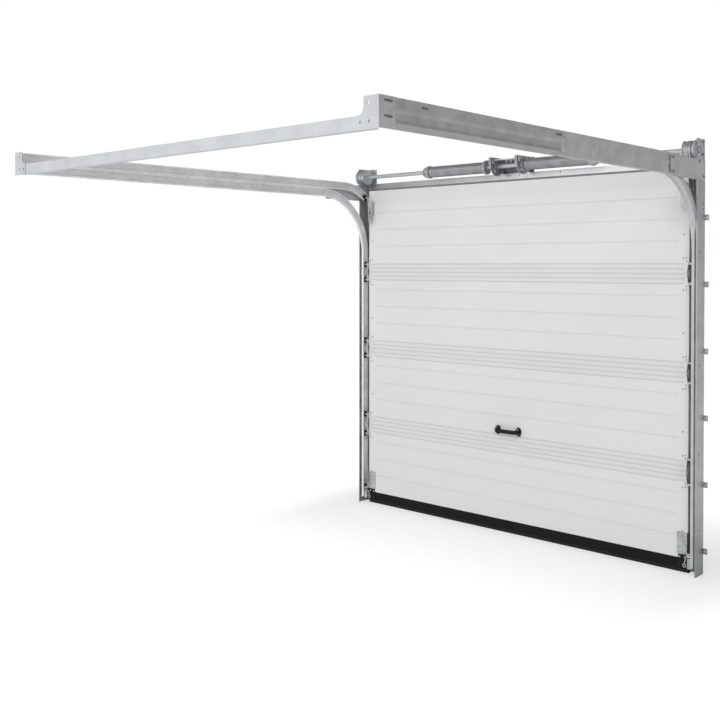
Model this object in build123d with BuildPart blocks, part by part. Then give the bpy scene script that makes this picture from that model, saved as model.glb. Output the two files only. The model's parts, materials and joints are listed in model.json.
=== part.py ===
from build123d import *
import os
from math import asin, cos, radians, sin

os.makedirs("parts", exist_ok=True)

# Sectional garage door, closed, seen from inside the garage.
# X runs along the door, +Y goes out through the wall, +Z is up.
# The wall's inner face is the plane Y = 0 and the origin is on it,
# at the middle of the header angle's back face. Heights are written above the floor.

# Leaf
leaf_width = 2260.0
first_joint = 538.0
section_pitch = 519.0
top_section_height = 549.0
section_count = 4
leaf_thickness = 40.0
leaf_setback = 12.0
joint_gap = 0.5
nose_width = 22.0
nose_height = 7.0
nose_clearance = 0.8
nose_angle = 60.0
groove_start = 173.0
groove_pitch = 114.0
groove_count = 3
joint_groove_pitch = 26.5
groove_depth = 1.6
groove_half_width = 3.5
end_cap_width = 60.0
end_cap_sheet = 1.2
end_cap_return = 25.0
joint_zone = 54.0
hinge_pad_width = 24.0
hinge_pad_reach = 96.0
hinge_pad_sheet = 1.5

# Bottom edge
seal_height = 26.0
seal_width = 34.0
seal_wall = 4.0
bottom_profile_height = 52.0
bottom_profile_wall = 3.0
corner_cap_width = 52.0
corner_cap_lip = 20.0
corner_cap_proud = 3.0
seat_gap = 0.3

# Frame at the wall
jamb_clear = 60.0
jamb_depth = 91.0
jamb_rise = 40.0
jamb_lip = 7.5
jamb_wall_flange = 94.0
frame_sheet = 2.0
wall_hole_radius = 4.5
wall_hole_pitch = 350.0
wall_hole_count = 6
first_wall_hole = 120.0
lug_width = 22.0
lug_height = 30.0
header_rise = 15.0
header_height = 70.0
header_depth = 24.0
header_lip = 40.0
side_seal_width = 20.0
side_seal_lip = 3.0
top_seal_height = 26.0
top_seal_overlap = 18.0

# Roller channels: the running side is the leaf's side, with a slanted corner at the web
track_height = 51.5
track_depth = 26.0
track_sheet = 2.0
track_lip = 8.0
track_corner_width = 11.0
track_corner_height = 17.0
track_web_gap = 6.0
track_face_y = 84.5
vertical_track_foot = 40.0
rail_drop = 52.0
curve_radius = 380.0
upper_bend_radius = 357.5
upper_bend_angle = 34.0
spacer_radius = 8.0
spacer_pitch = 480.0
spacer_count = 4
rail_splice = 1430.0
rail_end = 2572.0
rail_splay = 18.5
rail_cover = 2.5
splice_slot_width = 9.0
splice_slot_length = 50.0

# Gusset plates between the jambs and the tracks
gusset_sheet = 2.5
gusset_front = 10.0
gusset_rear = 411.0
gusset_top_drop = 10.0
gusset_peak_y = 216.0
gusset_low_drop = 12.0
gusset_slot_depth = 22.0
gusset_slot_radius = 4.5
gusset_slot_drop = 21.0
gusset_opening_reach = 150.0
gusset_opening_drop = 118.0

# Torsion assembly
shaft_rise = 41.0
shaft_radius = 12.7
shaft_y = 80.0
shaft_overhang = 2.0
shaft_clearance = 0.4
spring_outer_radius = 35.0
spring_wire = 6.5
spring_length = 425.0
spring_inner_end = 145.0
cone_length = 47.0
cone_seat = 30.0
cone_collar_radius = 38.0
cone_end_radius = 29.0
ratchet_radius = 44.0
ratchet_width = 12.0
ratchet_teeth = 12
ratchet_notch = 5.0
housing_radius = 35.0
cheek_left_x = -63.0
cheek_right_x = 122.0
cheek_thickness = 5.0
cheek_reach = 152.0
cheek_rise = 51.0
cheek_drop = 57.0
cheek_rim = 22.0
centre_plate_height = 92.0
drum_length = 65.0
drum_barrel_radius = 46.5
drum_rim_radius = 50.0
drum_rim = 4.0
drum_neck_radius = 40.0
drum_neck_start = 44.0
drum_neck = 9.0
drum_flange_radius = 53.0
drum_flange = 6.0
bearing_plate_sheet = 3.0
bearing_plate_height = 141.0
bearing_plate_depth = 95.0
bearing_plate_rise = 60.0
bearing_radius = 24.0
bearing_boss = 2.0
bearing_flange = 80.0
cable_radius = 1.6
cable_gap = 12.0
cable_turns = 3

# Rollers and hinges
roller_radius = 19.5
roller_width = 11.0
roller_edge_gap = 0.4
spindle_radius = 5.5
spindle_clearance = 0.2
arm_sheet = 2.0
arm_band = 8.0
arm_foot = 30.0
arm_tube = 17.0
knuckle_radius = 8.0
knuckle_proud = 31.0
hinge_reach = 52.0
low_hinge_reach = 66.0
top_plate_width = 50.0
top_plate_low = 166.0
top_plate_height = 94.0
strap_width = 32.0
strap_proud = 20.0
strap_low = 201.0
strap_high = 69.0
strap_slot_radius = 4.5
strap_slot_length = 46.0
bottom_plate_width = 47.0
bottom_plate_height = 118.0
bottom_roller_height = 104.0
cable_pin_height = 146.0
cable_pin_radius = 4.0
cable_eye_width = 5.0

# Rear frame
rear_sheet = 3.0
rear_plate_width = 68.0
rear_plate_flare = 30.0
rear_flange_length = 82.0
rear_hole_radius = 5.5
rear_top_hole_inset = 47.0
rear_top_hole_drop = 24.0
rear_bar_hole_inset = 82.0
rear_corner_hole_inset = 42.0
rear_bar_hole_drop = 23.0
rear_slot_length = 44.0
rear_slot_radius = 4.5
rear_slot_middle = 45.0
rear_slot_drop = 16.0
rear_plate_drop = 9.0
bar_drop = 62.0
bar_height = 48.0
bar_depth = 30.0

# Handle
handle_middle_x = 5.5
handle_length = 183.0
handle_height = 622.0
handle_bar_height = 24.0
handle_bar_depth = 14.0
handle_reach = 42.0
handle_bend = 22.0
handle_foot = 36.0
handle_foot_height = 55.0
handle_foot_depth = 12.0
handle_foot_round = 6.0

half_leaf = leaf_width / 2
joints = [first_joint + section_pitch * number for number in range(section_count - 1)]
leaf_height = joints[-1] + top_section_height
leaf_foot = seal_height + bottom_profile_height
leaf_outer_y = -leaf_setback
leaf_inner_y = leaf_outer_y - leaf_thickness
leaf_middle_y = (leaf_outer_y + leaf_inner_y) / 2
cap_inner_y = leaf_inner_y - end_cap_sheet
origin_height = leaf_height + header_rise
header_top = origin_height + header_height / 2
jamb_face_x = half_leaf + jamb_clear
jamb_height = leaf_height + jamb_rise
flange_inner_x = jamb_face_x - jamb_wall_flange
web_x = jamb_face_x - frame_sheet - track_web_gap
roller_seat = track_sheet + roller_radius + seat_gap
track_line_y = track_face_y - roller_seat
roller_outer_x = web_x - track_depth + track_sheet + roller_edge_gap + roller_width
rail_bottom = leaf_height - rail_drop
rail_middle = rail_bottom + track_height
rail_top = rail_middle + track_height
curve_y = -track_face_y - curve_radius
curve_height = rail_bottom - curve_radius
upper_centre = rail_middle - upper_bend_radius
upper_line_radius = upper_bend_radius + roller_seat
bend_start_y = -track_line_y - upper_line_radius * sin(radians(upper_bend_angle))
top_roller_height = upper_centre + upper_line_radius * cos(radians(upper_bend_angle))
rail_start_y = curve_y - seat_gap
rail_length = rail_end + rail_start_y
splay_angle = asin(rail_splay / rail_length)
shaft_height = header_top + shaft_rise
shaft_plane = Plane(origin=(0, -shaft_y, shaft_height - origin_height), x_dir=(0, 1, 0), z_dir=(1, 0, 0))
bore_radius = shaft_radius + shaft_clearance
cable_x = half_leaf + cable_gap
cable_y = drum_barrel_radius + seat_gap + cable_radius - shaft_y


def up(height):
    """The Z of a height above the floor."""
    return height - origin_height


def across(x, y=0.0, height=origin_height):
    """A plane square to X: its own x is +Y and its own y is up."""
    return Plane(origin=(x, y, up(height)), x_dir=(0, 1, 0), z_dir=(1, 0, 0))


def facing_room(y, x=0.0, height=origin_height):
    """A plane square to Y that looks into the garage: its own x is +X and its own y is up."""
    return Plane(origin=(x, y, up(height)), x_dir=(1, 0, 0), z_dir=(0, -1, 0))


def save(piece, name):
    piece.part.label = name
    export_step(piece.part, f"parts/{name}.step")


def save_both(piece, name):
    """Write a right-hand piece and its mirror image on the left."""
    save(piece, f"{name}_right")
    with BuildPart() as twin:
        mirror(piece.part, about=Plane.YZ)
    save(twin, f"{name}_left")


section_lows = [leaf_foot] + joints
section_highs = [joint - joint_gap for joint in joints] + [leaf_height]

# Leaf sections: grooved sandwich panels with a nose on top and a slot for the next nose below
body_half = half_leaf - end_cap_sheet - seat_gap
for number in range(section_count):
    low = section_lows[number]
    high = section_highs[number]
    lower_joint = first_joint + section_pitch * (number - 1)
    grooves = [lower_joint + joint_groove_pitch * n for n in (1, 2)]
    grooves += [lower_joint + groove_start + groove_pitch * n for n in range(groove_count)]
    if number < section_count - 1:
        grooves += [joints[number] - joint_groove_pitch * n for n in (1, 2)]
    with BuildPart() as section:
        with BuildSketch(across(-body_half)):
            with Locations((leaf_middle_y, up((low + high) / 2))):
                Rectangle(leaf_thickness, high - low)
            if number < section_count - 1:
                with Locations((leaf_middle_y, up(high))):
                    Trapezoid(nose_width, nose_height, nose_angle, align=(Align.CENTER, Align.MIN))
            if number > 0:
                with Locations((leaf_middle_y, up(low))):
                    Trapezoid(
                        nose_width + 2 * nose_clearance,
                        nose_height + nose_clearance,
                        nose_angle,
                        align=(Align.CENTER, Align.MIN),
                        mode=Mode.SUBTRACT,
                    )
            for groove in grooves:
                if groove > low + groove_half_width:
                    for face_y, inward in ((leaf_outer_y, -1), (leaf_inner_y, 1)):
                        with BuildLine():
                            Polyline(
                                (face_y, up(groove - groove_half_width)),
                                (face_y + inward * groove_depth, up(groove)),
                                (face_y, up(groove + groove_half_width)),
                                close=True,
                            )
                        make_face(mode=Mode.SUBTRACT)
        extrude(amount=2 * body_half)
    save(section, f"section_{number + 1}")

# End caps: folded sheet over the end of every section, cut back beside the joints,
# with a raised pad for each hinge foot
with BuildPart() as end_caps:
    for number in range(section_count):
        low = section_lows[number]
        high = section_highs[number]
        face_low = low if number == 0 else low + joint_zone
        face_high = high if number == section_count - 1 else high - joint_zone
        with BuildSketch(Plane.XY.offset(up(low))):
            with Locations((half_leaf, cap_inner_y)):
                Rectangle(end_cap_sheet, leaf_thickness + 2 * end_cap_sheet, align=(Align.MAX, Align.MIN))
                Rectangle(hinge_pad_width, end_cap_sheet, align=(Align.MAX, Align.MIN))
            with Locations((half_leaf, leaf_outer_y)):
                Rectangle(end_cap_return, end_cap_sheet, align=(Align.MAX, Align.MIN))
        extrude(amount=high - low)
        with BuildSketch(facing_room(leaf_inner_y, half_leaf, face_low)):
            Rectangle(end_cap_width, face_high - face_low, align=(Align.MAX, Align.MIN))
        extrude(amount=end_cap_sheet)
        pads = []
        if number > 0:
            pads.append((low, Align.MIN))
        if number < section_count - 1:
            pads.append((high, Align.MAX))
        for height, side in pads:
            with BuildSketch(facing_room(cap_inner_y, half_leaf, height)):
                Rectangle(hinge_pad_width, hinge_pad_reach, align=(Align.MAX, side))
            extrude(amount=hinge_pad_sheet)
save_both(end_caps, "end_caps")

# Bottom edge: black profile, rubber seal and corner caps
corner_start = half_leaf - corner_cap_width
profile_half = corner_start - seat_gap
profile_height = bottom_profile_height - seat_gap
with BuildPart() as bottom_profile:
    with BuildSketch(across(-profile_half)):
        with Locations((leaf_outer_y, up(seal_height))):
            Rectangle(leaf_thickness, profile_height, align=(Align.MAX, Align.MIN))
        with Locations((leaf_middle_y, up(seal_height + bottom_profile_wall))):
            Rectangle(
                leaf_thickness - 2 * bottom_profile_wall,
                bottom_profile_height,
                align=(Align.CENTER, Align.MIN),
                mode=Mode.SUBTRACT,
            )
    extrude(amount=2 * profile_half)
save(bottom_profile, "bottom_profile")

with BuildPart() as bottom_seal:
    with BuildSketch(across(-half_leaf)):
        with Locations((leaf_middle_y, up(seal_height / 2))):
            RectangleRounded(seal_width, seal_height - seat_gap, seal_height / 3)
            RectangleRounded(
                seal_width - 2 * seal_wall,
                seal_height - 2 * seal_wall,
                seal_height / 5,
                mode=Mode.SUBTRACT,
            )
    extrude(amount=leaf_width)
save(bottom_seal, "bottom_seal")

with BuildPart() as corner_cap:
    with BuildSketch(across(corner_start)):
        with Locations((leaf_outer_y, up(seal_height))):
            Rectangle(
                leaf_thickness + end_cap_sheet + corner_cap_proud,
                profile_height,
                align=(Align.MAX, Align.MIN),
            )
        with Locations((cap_inner_y - corner_cap_proud, up(seal_height))):
            Rectangle(
                corner_cap_proud - seat_gap,
                bottom_profile_height + corner_cap_lip,
                align=(Align.MIN, Align.MIN),
            )
    extrude(amount=corner_cap_width)
save_both(corner_cap, "corner_cap")

# Jambs: folded sheet, its wall flange behind the leaf, with a narrow lip and lugs for the wall screws
gusset_low = rail_bottom - gusset_low_drop
first_hole_row = first_wall_hole + wall_hole_pitch * (wall_hole_count - 1) / 2
with BuildPart() as jamb:
    with BuildSketch(Plane.XY.offset(up(0))):
        with Locations((jamb_face_x, 0)):
            Rectangle(frame_sheet, jamb_depth, align=(Align.MAX, Align.MAX))
            Rectangle(jamb_wall_flange, frame_sheet, align=(Align.MAX, Align.MAX))
    extrude(amount=jamb_height)
    with BuildSketch(Plane.XY.offset(up(0))):
        with Locations((jamb_face_x, -jamb_depth)):
            Rectangle(jamb_lip, frame_sheet, align=(Align.MAX, Align.MIN))
    extrude(amount=gusset_low)
    with Locations(Location((jamb_face_x + lug_width / 2, 0, up(first_hole_row)), (90, 0, 0))):
        with GridLocations(0, wall_hole_pitch, 1, wall_hole_count):
            Box(lug_width, lug_height, frame_sheet, align=(Align.CENTER, Align.CENTER, Align.MIN))
            Hole(wall_hole_radius)
save_both(jamb, "jamb")

# Side seals: rubber strips between the jamb flange and the leaf's outer face
header_low = header_top - header_height
seal_reach_y = leaf_outer_y + end_cap_sheet + seat_gap
with BuildPart() as side_seal:
    with BuildSketch(Plane.XY.offset(up(0))):
        with BuildLine():
            Polyline(
                (flange_inner_x, -frame_sheet - seat_gap),
                (flange_inner_x + side_seal_width, -frame_sheet - seat_gap),
                (flange_inner_x + side_seal_width, -frame_sheet - side_seal_lip),
                (flange_inner_x + side_seal_lip, seal_reach_y),
                (flange_inner_x, seal_reach_y),
                close=True,
            )
        make_face()
    extrude(amount=header_low - seat_gap)
save_both(side_seal, "side_seal")

# Header angle: folded channel over the opening, its back face carries the origin
header_half = flange_inner_x - seat_gap
with BuildPart() as header_angle:
    with BuildSketch(across(-header_half, height=header_top)):
        Rectangle(frame_sheet, header_height, align=(Align.MAX, Align.MAX))
        Rectangle(header_depth, frame_sheet, align=(Align.MAX, Align.MAX))
        with Locations((-header_depth, 0)):
            Rectangle(frame_sheet, header_lip, align=(Align.MIN, Align.MAX))
    extrude(amount=2 * header_half)
save(header_angle, "header_angle")

# Top seal: a lip from the header's back flange down onto the leaf's outer face
with BuildPart() as top_seal:
    seal_foot = leaf_height - top_seal_overlap
    with BuildSketch(across(-header_half, height=seal_foot)):
        with BuildLine():
            Polyline(
                (-frame_sheet - seat_gap, top_seal_height),
                (-frame_sheet - seat_gap, side_seal_lip),
                (leaf_outer_y + seat_gap, 0),
                (leaf_outer_y + seat_gap, side_seal_lip),
                (-frame_sheet - side_seal_lip, top_seal_height),
                close=True,
            )
        make_face()
    extrude(amount=2 * header_half)
save(top_seal, "top_seal")


def channel_sketch():
    """The roller channel's section: web at local X = 0, mouth at -X, running side at local Y = 0."""
    with BuildSketch() as channel:
        with BuildLine():
            Polyline(
                (-track_depth, 0),
                (-track_corner_width, 0),
                (0, track_corner_height),
                (0, track_height),
                (-track_depth, track_height),
                close=True,
            )
        make_face()
        offset(amount=-track_sheet, mode=Mode.SUBTRACT)
        with Locations((-track_depth, track_height / 2)):
            Rectangle(
                track_sheet,
                track_height - 2 * track_lip,
                align=(Align.MIN, Align.CENTER),
                mode=Mode.SUBTRACT,
            )
    return channel.sketch


channel = channel_sketch()
web_gap = track_web_gap - seat_gap

# Vertical tracks, with hidden spacers to the jamb's side
with BuildPart() as vertical_track:
    with BuildSketch(Plane.XY.offset(up(vertical_track_foot))):
        with Locations((web_x, -track_face_y)):
            add(channel)
    extrude(amount=curve_height - vertical_track_foot - seat_gap)
    with BuildSketch(across(web_x, track_height / 2 - track_face_y)):
        with GridLocations(0, spacer_pitch, 1, spacer_count):
            with Locations((0, up(curve_height / 2))):
                Circle(spacer_radius)
    extrude(amount=web_gap)
save_both(vertical_track, "vertical_track")

# Curved tracks: a quarter turn from the vertical track into the lower channel
with BuildPart() as curved_track:
    with BuildSketch(Plane.XY.offset(up(curve_height))):
        with Locations((web_x, -track_face_y)):
            add(channel)
    revolve(axis=Axis((0, curve_y, up(curve_height)), (1, 0, 0)), revolution_arc=90)
save_both(curved_track, "curved_track")

# Upper tracks: from the upper channel down to the top roller behind the header
with BuildPart() as upper_track:
    with BuildSketch(facing_room(bend_start_y, web_x, rail_middle)):
        add(channel)
    extrude(amount=bend_start_y - rail_start_y - seat_gap)
    with BuildSketch(facing_room(bend_start_y, web_x, rail_middle)):
        add(channel)
    revolve(axis=Axis((0, bend_start_y, up(upper_centre)), (-1, 0, 0)), revolution_arc=upper_bend_angle)
save_both(upper_track, "upper_track")


def rail_plane(distance, height):
    """A plane square to the splayed rail, this far behind its front end, at the web's outer face."""
    return Plane(
        origin=(
            web_x + distance * sin(splay_angle),
            rail_start_y - distance * cos(splay_angle),
            up(height),
        ),
        x_dir=(cos(splay_angle), sin(splay_angle), 0),
        z_dir=(sin(splay_angle), -cos(splay_angle), 0),
    )


def double_rail(start, end):
    """Both channels one above the other, between two distances along the splayed rail."""
    with BuildPart() as rail:
        for height in (rail_bottom, rail_middle):
            with BuildSketch(rail_plane(start, height)):
                add(channel)
            extrude(amount=end - start)
        with BuildSketch(rail_plane(start, rail_bottom)):
            with Locations((0, track_height)):
                Rectangle(track_sheet, 2 * track_corner_height, align=(Align.MAX, Align.CENTER))
        extrude(amount=end - start)
    return rail


# Horizontal rails: the front length has a flat cover sheet over both channels, ending in a slot
splice = (rail_splice + rail_start_y) / cos(splay_angle)
end_of_rail = rail_length / cos(splay_angle)
rail_front = double_rail(0, splice)
with BuildPart() as rail_cover_sheet:
    with BuildSketch(rail_plane(0, rail_bottom)):
        Rectangle(rail_cover, 2 * track_height, align=(Align.MIN, Align.MIN))
    extrude(amount=splice)
    cover_face = rail_plane(splice, rail_middle + track_height / 2)
    slot_plane = Plane(origin=cover_face.origin, x_dir=cover_face.z_dir, z_dir=cover_face.x_dir)
    with BuildSketch(slot_plane):
        SlotOverall(splice_slot_length, splice_slot_width)
    extrude(amount=rail_cover, mode=Mode.SUBTRACT)
rail_front.part = rail_front.part + rail_cover_sheet.part
save_both(rail_front, "rail_front")
rail_rear = double_rail(splice + seat_gap, end_of_rail)
save_both(rail_rear, "rail_rear")

# Gusset plates: from the jamb's face to both tracks, with two open slots and a triangular opening
gusset_top = rail_top - gusset_top_drop
slot_heights = (rail_top - gusset_slot_drop, gusset_low + gusset_slot_drop)
with BuildPart() as gusset_plate:
    with BuildSketch(across(jamb_face_x + seat_gap)):
        with BuildLine():
            Polyline(
                (-gusset_front, up(gusset_low)),
                (-gusset_front, up(gusset_top - gusset_top_drop / 2)),
                (-gusset_peak_y, up(gusset_top + gusset_top_drop / 2)),
                (-gusset_rear, up(gusset_top)),
                (-gusset_rear, up(gusset_low)),
                (-gusset_opening_reach - jamb_depth, up(gusset_low)),
                (-jamb_depth, up(gusset_low - gusset_opening_drop)),
                (-gusset_front, up(gusset_low - gusset_opening_drop)),
                close=True,
            )
        make_face()
        for height in slot_heights:
            with Locations((-gusset_rear, up(height))):
                Rectangle(2 * gusset_slot_depth, 2 * gusset_slot_radius, mode=Mode.SUBTRACT)
    extrude(amount=gusset_sheet)
    with BuildSketch(across(jamb_face_x + seat_gap)):
        for height in slot_heights:
            with Locations((-gusset_rear + gusset_slot_depth + spacer_radius, up(height))):
                Circle(spacer_radius)
    extrude(amount=-(frame_sheet + track_web_gap))
save_both(gusset_plate, "gusset_plate")

# Rear plates: a face across the end of each rail that flares down to the cross bar,
# and a side flange along the splayed rail
fold_x = web_x + rail_splay + seat_gap + rear_sheet
rear_y = -rail_end - seat_gap
plate_inner_x = fold_x - rear_plate_width
bar_top = rail_top - bar_drop
plate_bottom = rail_bottom - rear_plate_drop
with BuildPart() as rear_plate:
    with BuildSketch(facing_room(rear_y)):
        with BuildLine():
            Polyline(
                (fold_x, up(rail_top)),
                (plate_inner_x, up(rail_top)),
                (plate_inner_x, up(bar_top + rear_plate_flare)),
            )
            RadiusArc(
                (plate_inner_x, up(bar_top + rear_plate_flare)),
                (plate_inner_x - rear_plate_flare, up(bar_top)),
                rear_plate_flare,
            )
            Polyline(
                (plate_inner_x - rear_plate_flare, up(bar_top)),
                (plate_inner_x - rear_plate_flare, up(plate_bottom)),
                (fold_x, up(plate_bottom)),
                (fold_x, up(rail_top)),
            )
        make_face()
        with Locations(
            (fold_x - rear_top_hole_inset, up(rail_top - rear_top_hole_drop)),
            (fold_x - rear_bar_hole_inset, up(bar_top - rear_bar_hole_drop)),
            (fold_x - rear_corner_hole_inset, up(bar_top - rear_bar_hole_drop)),
        ):
            Circle(rear_hole_radius, mode=Mode.SUBTRACT)
    extrude(amount=rear_sheet)
    with BuildSketch(Plane(
        origin=(fold_x - rear_sheet, rear_y, up(rail_bottom)),
        x_dir=(-sin(splay_angle), cos(splay_angle), 0),
        z_dir=(cos(splay_angle), sin(splay_angle), 0),
    )):
        with Locations((-rear_sheet / 2, 0)):
            Rectangle(rear_flange_length, 2 * track_height, align=(Align.MIN, Align.MIN))
        for height in (2 * track_height - rear_slot_drop, track_height - rear_slot_drop):
            with Locations((rear_slot_middle, height)):
                SlotOverall(rear_slot_length, 2 * rear_slot_radius, mode=Mode.SUBTRACT)
    extrude(amount=rear_sheet)
save_both(rear_plate, "rear_plate")

# Cross bar: folded channel between the rear plates, joining both rails
bar_half = web_x + rail_splay - track_depth - frame_sheet
with BuildPart() as cross_bar:
    with BuildSketch(across(-bar_half, rear_y + seat_gap, bar_top)):
        Rectangle(frame_sheet, bar_height, align=(Align.MIN, Align.MAX))
        Rectangle(bar_depth, frame_sheet, align=(Align.MIN, Align.MAX))
        with Locations((0, -bar_height)):
            Rectangle(bar_depth, frame_sheet, align=(Align.MIN, Align.MIN))
    extrude(amount=2 * bar_half)
save(cross_bar, "cross_bar")

# Torsion shaft, carried by both bearing plates
bearing_plate_x = jamb_face_x - frame_sheet - bearing_plate_sheet - seat_gap
shaft_half = bearing_plate_x + bearing_plate_sheet + shaft_overhang
with BuildPart() as torsion_shaft:
    with BuildSketch(shaft_plane.offset(-shaft_half)):
        Circle(shaft_radius)
    extrude(amount=2 * shaft_half)
save(torsion_shaft, "torsion_shaft")

# Bearing plates: angle brackets above the jambs with a bearing boss for the shaft
with BuildPart() as bearing_plate:
    with BuildSketch(shaft_plane.offset(bearing_plate_x)):
        with Locations((shaft_y - frame_sheet - seat_gap, bearing_plate_rise)):
            Rectangle(bearing_plate_depth, bearing_plate_height, align=(Align.MAX, Align.MAX))
    extrude(amount=bearing_plate_sheet)
    with BuildSketch(facing_room(0, bearing_plate_x + bearing_plate_sheet, shaft_height + bearing_plate_rise)):
        Rectangle(
            bearing_flange,
            shaft_height + bearing_plate_rise - jamb_height - seat_gap,
            align=(Align.MAX, Align.MAX),
        )
    extrude(amount=bearing_plate_sheet)
    with BuildSketch(shaft_plane.offset(bearing_plate_x - bearing_boss)):
        Circle(bearing_radius)
    extrude(amount=bearing_boss)
    with BuildSketch(shaft_plane.offset(bearing_plate_x - bearing_boss)):
        Circle(bore_radius)
    extrude(amount=bearing_boss + bearing_plate_sheet, mode=Mode.SUBTRACT)
save_both(bearing_plate, "bearing_plate")

# Cable drums: turned castings with a neck, the wide flange beside the bearing plate
drum_outer_x = bearing_plate_x - bearing_boss - seat_gap
drum_start = drum_outer_x - drum_length
with BuildPart() as drum:
    with BuildSketch(Plane(origin=(drum_start, -shaft_y, up(shaft_height)), x_dir=(1, 0, 0), z_dir=(0, -1, 0))):
        with BuildLine():
            Polyline(
                (0, bore_radius),
                (0, drum_rim_radius),
                (drum_rim, drum_rim_radius),
                (drum_rim, drum_barrel_radius),
                (drum_neck_start, drum_barrel_radius),
                (drum_neck_start, drum_neck_radius),
                (drum_neck_start + drum_neck, drum_neck_radius),
                (drum_length - drum_flange, drum_flange_radius),
                (drum_length, drum_flange_radius),
                (drum_length, bore_radius),
                close=True,
            )
        make_face()
    revolve(axis=Axis((0, -shaft_y, up(shaft_height)), (1, 0, 0)))
save_both(drum, "drum")

# Torsion springs with their winding cones outside and stationary cones inside
spring_inner_radius = spring_outer_radius - spring_wire
spring_outer_end = spring_inner_end + spring_length
plug_radius = spring_inner_radius - seat_gap
with BuildPart() as spring:
    with BuildSketch(shaft_plane.offset(spring_inner_end)):
        Circle(spring_outer_radius)
        Circle(spring_inner_radius, mode=Mode.SUBTRACT)
    extrude(amount=spring_length)
save_both(spring, "spring")

with BuildPart() as winding_cone:
    with BuildSketch(Plane(origin=(spring_outer_end, -shaft_y, up(shaft_height)), x_dir=(1, 0, 0), z_dir=(0, -1, 0))):
        with BuildLine():
            Polyline(
                (-cone_seat, bore_radius),
                (-cone_seat, plug_radius),
                (seat_gap, plug_radius),
                (seat_gap, cone_collar_radius),
                (cone_length / 2, cone_collar_radius),
                (cone_length, cone_end_radius),
                (cone_length, bore_radius),
                close=True,
            )
        make_face()
    revolve(axis=Axis((0, -shaft_y, up(shaft_height)), (1, 0, 0)))
save_both(winding_cone, "winding_cone")

# Spring-break ratchets: a notched wheel whose plug holds the inner end of the spring
with BuildPart() as spring_break:
    with BuildSketch(shaft_plane.offset(spring_inner_end)):
        Circle(plug_radius)
    extrude(amount=cone_seat)
    with BuildSketch(shaft_plane.offset(spring_inner_end - seat_gap)):
        Circle(ratchet_radius)
        with PolarLocations(ratchet_radius, ratchet_teeth):
            Circle(ratchet_notch, mode=Mode.SUBTRACT)
    extrude(amount=-ratchet_width)
    with BuildSketch(shaft_plane.offset(spring_inner_end)):
        Circle(ratchet_radius - 2 * ratchet_notch)
    extrude(amount=-ratchet_width)
    with BuildSketch(shaft_plane.offset(spring_inner_end + cone_seat)):
        Circle(bore_radius)
    extrude(amount=-(cone_seat + 2 * ratchet_width), mode=Mode.SUBTRACT)
save_both(spring_break, "spring_break")

# Centre bracket: a wall plate with two round-bottomed cheeks, their bent rims, and the
# bearing tube that carries the shaft between them
cheek_front = shaft_y - cheek_reach
with BuildPart() as centre_bracket:
    with BuildSketch(facing_room(0, cheek_left_x - cheek_rim, header_top + seat_gap)):
        Rectangle(
            cheek_right_x + cheek_thickness + cheek_rim - cheek_left_x + cheek_rim,
            centre_plate_height,
            align=(Align.MIN, Align.MIN),
        )
    extrude(amount=bearing_plate_sheet)
    for start in (cheek_left_x, cheek_right_x):
        with BuildSketch(shaft_plane.offset(start)):
            with BuildLine():
                Polyline(
                    (shaft_y, -(shaft_rise - seat_gap)),
                    (shaft_y, cheek_rise),
                    (cheek_front, cheek_rise),
                    (cheek_front, 0),
                )
                ThreePointArc(
                    (cheek_front, 0), (0, -cheek_drop), (shaft_y - header_depth - seat_gap, -(shaft_rise - seat_gap))
                )
                Line(
                    (shaft_y - header_depth - seat_gap, -(shaft_rise - seat_gap)),
                    (shaft_y, -(shaft_rise - seat_gap)),
                )
            make_face()
        extrude(amount=cheek_thickness)
        with BuildSketch(shaft_plane.offset(start)):
            with Locations((cheek_front, 0)):
                Rectangle(bearing_plate_sheet, cheek_rise, align=(Align.MIN, Align.MIN))
        extrude(amount=-cheek_rim)
    with BuildSketch(shaft_plane.offset(cheek_left_x)):
        Circle(housing_radius)
    extrude(amount=cheek_right_x - cheek_left_x)
    with BuildSketch(shaft_plane.offset(cheek_left_x)):
        Circle(bore_radius)
    extrude(amount=cheek_right_x + cheek_thickness - cheek_left_x, mode=Mode.SUBTRACT)
save(centre_bracket, "centre_bracket")

# Side hinges: a pair of bright arms on one knuckle, against the leaf's edge over each joint
arm_x = half_leaf + seat_gap
knuckle_y = cap_inner_y - knuckle_proud
reaches = [low_hinge_reach] + [hinge_reach] * (section_count - 2)


def spindle_tube(height):
    """The tube that holds a roller's spindle, standing on an arm's outer face."""
    with BuildPart() as tube:
        with BuildSketch(across(arm_x + arm_sheet, -track_line_y, height)):
            Circle(knuckle_radius)
            Circle(spindle_radius + spindle_clearance, mode=Mode.SUBTRACT)
        extrude(amount=arm_tube)
    return tube.part


def arms_sketch(reach):
    """Both arms from the knuckle to their rollers, with their feet on the leaf's edge."""
    with BuildSketch() as arms:
        for side in (-1, 1):
            with BuildLine():
                Polyline(
                    (knuckle_y, 0),
                    (-track_line_y - arm_band, side * reach),
                    (-track_line_y - arm_band, side * (reach + arm_band)),
                    (cap_inner_y + arm_foot, side * (reach + arm_band)),
                    (cap_inner_y + arm_foot, side * (reach - arm_band)),
                    (-track_line_y + arm_band, side * (reach - arm_band)),
                    (knuckle_y + 2 * arm_band, 0),
                    close=True,
                )
            make_face()
        with Locations((knuckle_y + arm_band / 2, 0)):
            Circle(knuckle_radius)
    return arms.sketch


with BuildPart() as hinges:
    for joint, reach in zip(joints, reaches):
        with BuildSketch(across(arm_x, height=joint)):
            add(arms_sketch(reach))
        extrude(amount=arm_sheet)
        for height in (joint - reach, joint + reach):
            add(spindle_tube(height))
        with BuildSketch(across(arm_x, knuckle_y + arm_band / 2, joint)):
            Circle(spindle_radius)
        extrude(amount=arm_tube / 2)
save_both(hinges, "hinges")

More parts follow.
